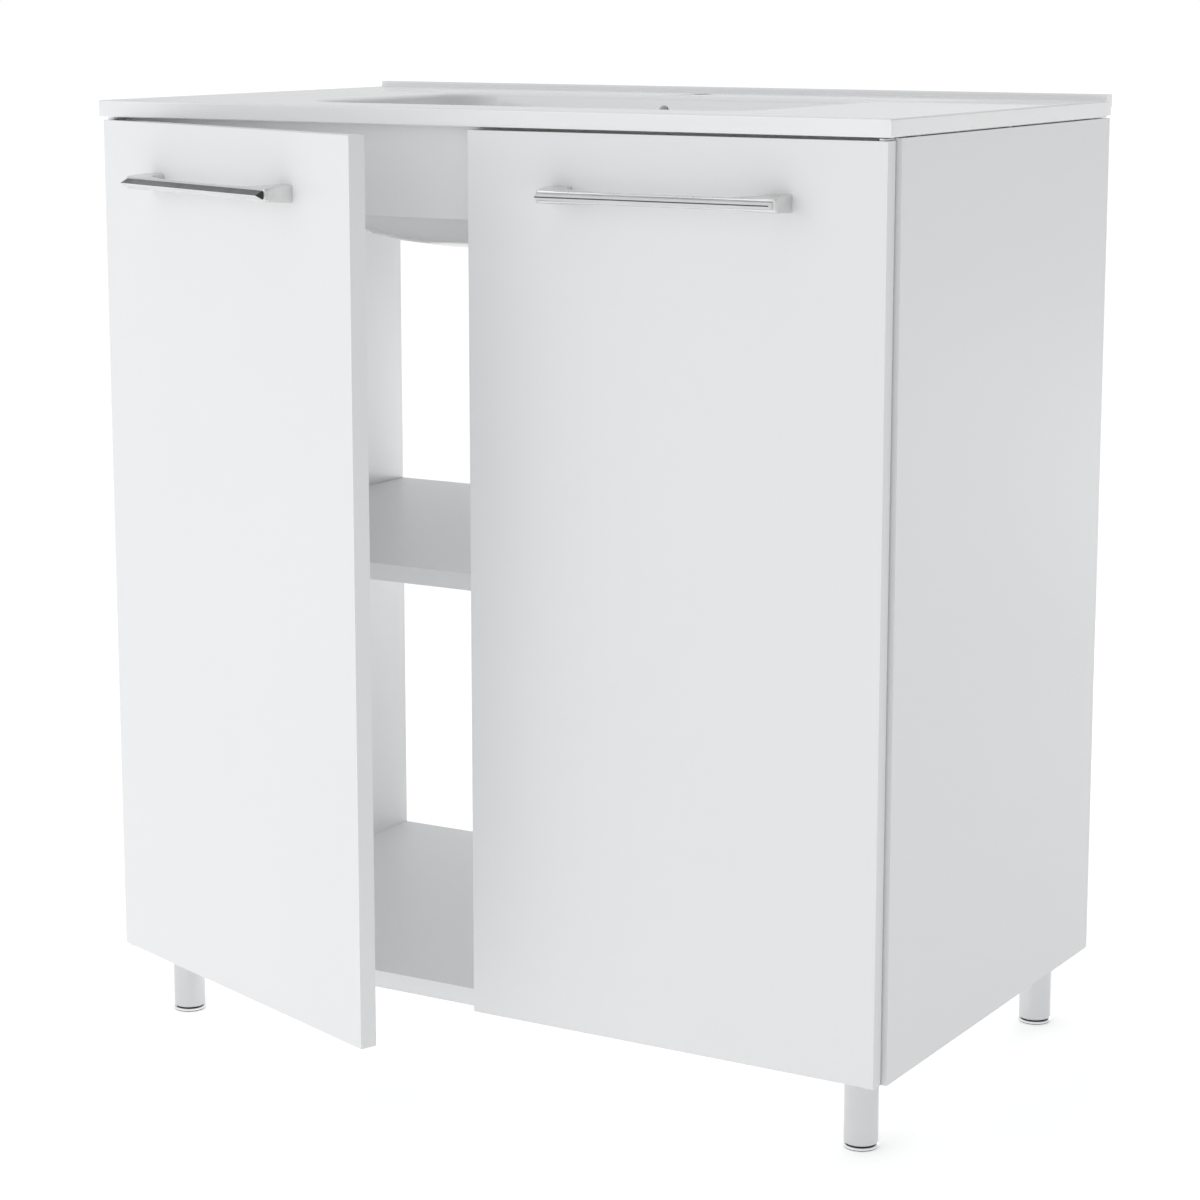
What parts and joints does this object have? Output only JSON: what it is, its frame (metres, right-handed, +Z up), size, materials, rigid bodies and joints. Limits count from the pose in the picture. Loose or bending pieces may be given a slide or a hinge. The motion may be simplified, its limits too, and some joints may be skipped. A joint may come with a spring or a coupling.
{
  "type": "bathroom vanity cabinet",
  "caption": "White bathroom vanity: a rectangular washbasin top over a cabinet with hinged doors, a shelf, bow handles, an open back and round metal legs.",
  "frame": {"origin": "on the floor, under the middle of the whole piece's bounding box as it stands, with the left door ajar", "axes": "+Z up; +Y from the doors towards the wall behind the cabinet; +X to the right as seen from the front"},
  "size_m": [0.8, 0.6049, 0.8805],
  "materials": {
    "glazed_white": "glossy",
    "white_lacquered_board": "satin lacquer",
    "satin_nickel": "satin",
    "polished_chrome": "polished",
    "satin_steel_tube": "satin",
    "chromed_foot": "polished",
    "black_plastic": "matte",
    "nylon": "matte",
    "clear_rubber": "soft",
    "beech": "raw",
    "zinc_fitting": "satin",
    "zinc_plated_steel": "satin"
  },
  "bodies": {
    "cabinet": {"basin_top": "glazed_white", "basin_seat_pads": "clear_rubber", "left_side_panel": "white_lacquered_board", "right_side_panel": "white_lacquered_board", "bottom_panel": "white_lacquered_board", "middle_shelf": "white_lacquered_board", "shelf_pins": "zinc_plated_steel", "front_rail": "white_lacquered_board", "rear_rail": "white_lacquered_board", "carcass_dowels": "beech", "cam_bolts": "zinc_fitting", "cam_locks": "zinc_fitting", "left_top_pivot_plate": "zinc_plated_steel", "left_bottom_pivot_plate": "zinc_plated_steel", "left_pivot_pins": "zinc_plated_steel", "left_pivot_screws": "zinc_plated_steel", "right_top_pivot_plate": "zinc_plated_steel", "right_bottom_pivot_plate": "zinc_plated_steel", "right_pivot_pins": "zinc_plated_steel", "right_pivot_screws": "zinc_plated_steel", "front_left_leg_plate": "zinc_plated_steel", "front_left_leg_tube": "satin_steel_tube", "front_right_leg_plate": "zinc_plated_steel", "front_right_leg_tube": "satin_steel_tube", "rear_left_leg_plate": "zinc_plated_steel", "rear_left_leg_tube": "satin_steel_tube", "rear_right_leg_plate": "zinc_plated_steel", "rear_right_leg_tube": "satin_steel_tube", "leg_plugs": "black_plastic", "leg_plate_screws": "zinc_plated_steel"},
    "left_door_leaf": {"left_door": "white_lacquered_board", "left_door_bushes": "nylon", "left_door_bumpers": "clear_rubber", "left_handle_body": "satin_nickel", "left_handle_strip": "polished_chrome", "left_handle_screws": "zinc_plated_steel"},
    "right_door_leaf": {"right_door": "white_lacquered_board", "right_door_bushes": "nylon", "right_door_bumpers": "clear_rubber", "right_handle_body": "satin_nickel", "right_handle_strip": "polished_chrome", "right_handle_screws": "zinc_plated_steel"},
    "front_left_foot": {"front_left_levelling_foot": "chromed_foot"},
    "front_right_foot": {"front_right_levelling_foot": "chromed_foot"},
    "rear_left_foot": {"rear_left_levelling_foot": "chromed_foot"},
    "rear_right_foot": {"rear_right_levelling_foot": "chromed_foot"}
  },
  "joints": [
    {"name": "left_door_swing", "type": "hinge", "parent": "cabinet", "child": "left_door_leaf", "pos_m": [-0.3895, -0.15926, 0.46], "axis": [0, 0, -1], "range_deg": [-20.4, 79.6]},
    {"name": "right_door_swing", "type": "hinge", "parent": "cabinet", "child": "right_door_leaf", "pos_m": [0.3895, -0.15926, 0.46], "axis": [0, 0, 1], "range_deg": [0, 100]},
    {"name": "front_left_foot_height", "type": "slide", "parent": "cabinet", "child": "front_left_foot", "axis": [0, 0, -1], "range_m": [0, 0.01]},
    {"name": "front_right_foot_height", "type": "slide", "parent": "cabinet", "child": "front_right_foot", "axis": [0, 0, -1], "range_m": [0, 0.01]},
    {"name": "rear_left_foot_height", "type": "slide", "parent": "cabinet", "child": "rear_left_foot", "axis": [0, 0, -1], "range_m": [0, 0.01]},
    {"name": "rear_right_foot_height", "type": "slide", "parent": "cabinet", "child": "rear_right_foot", "axis": [0, 0, -1], "range_m": [0, 0.01]}
  ]
}
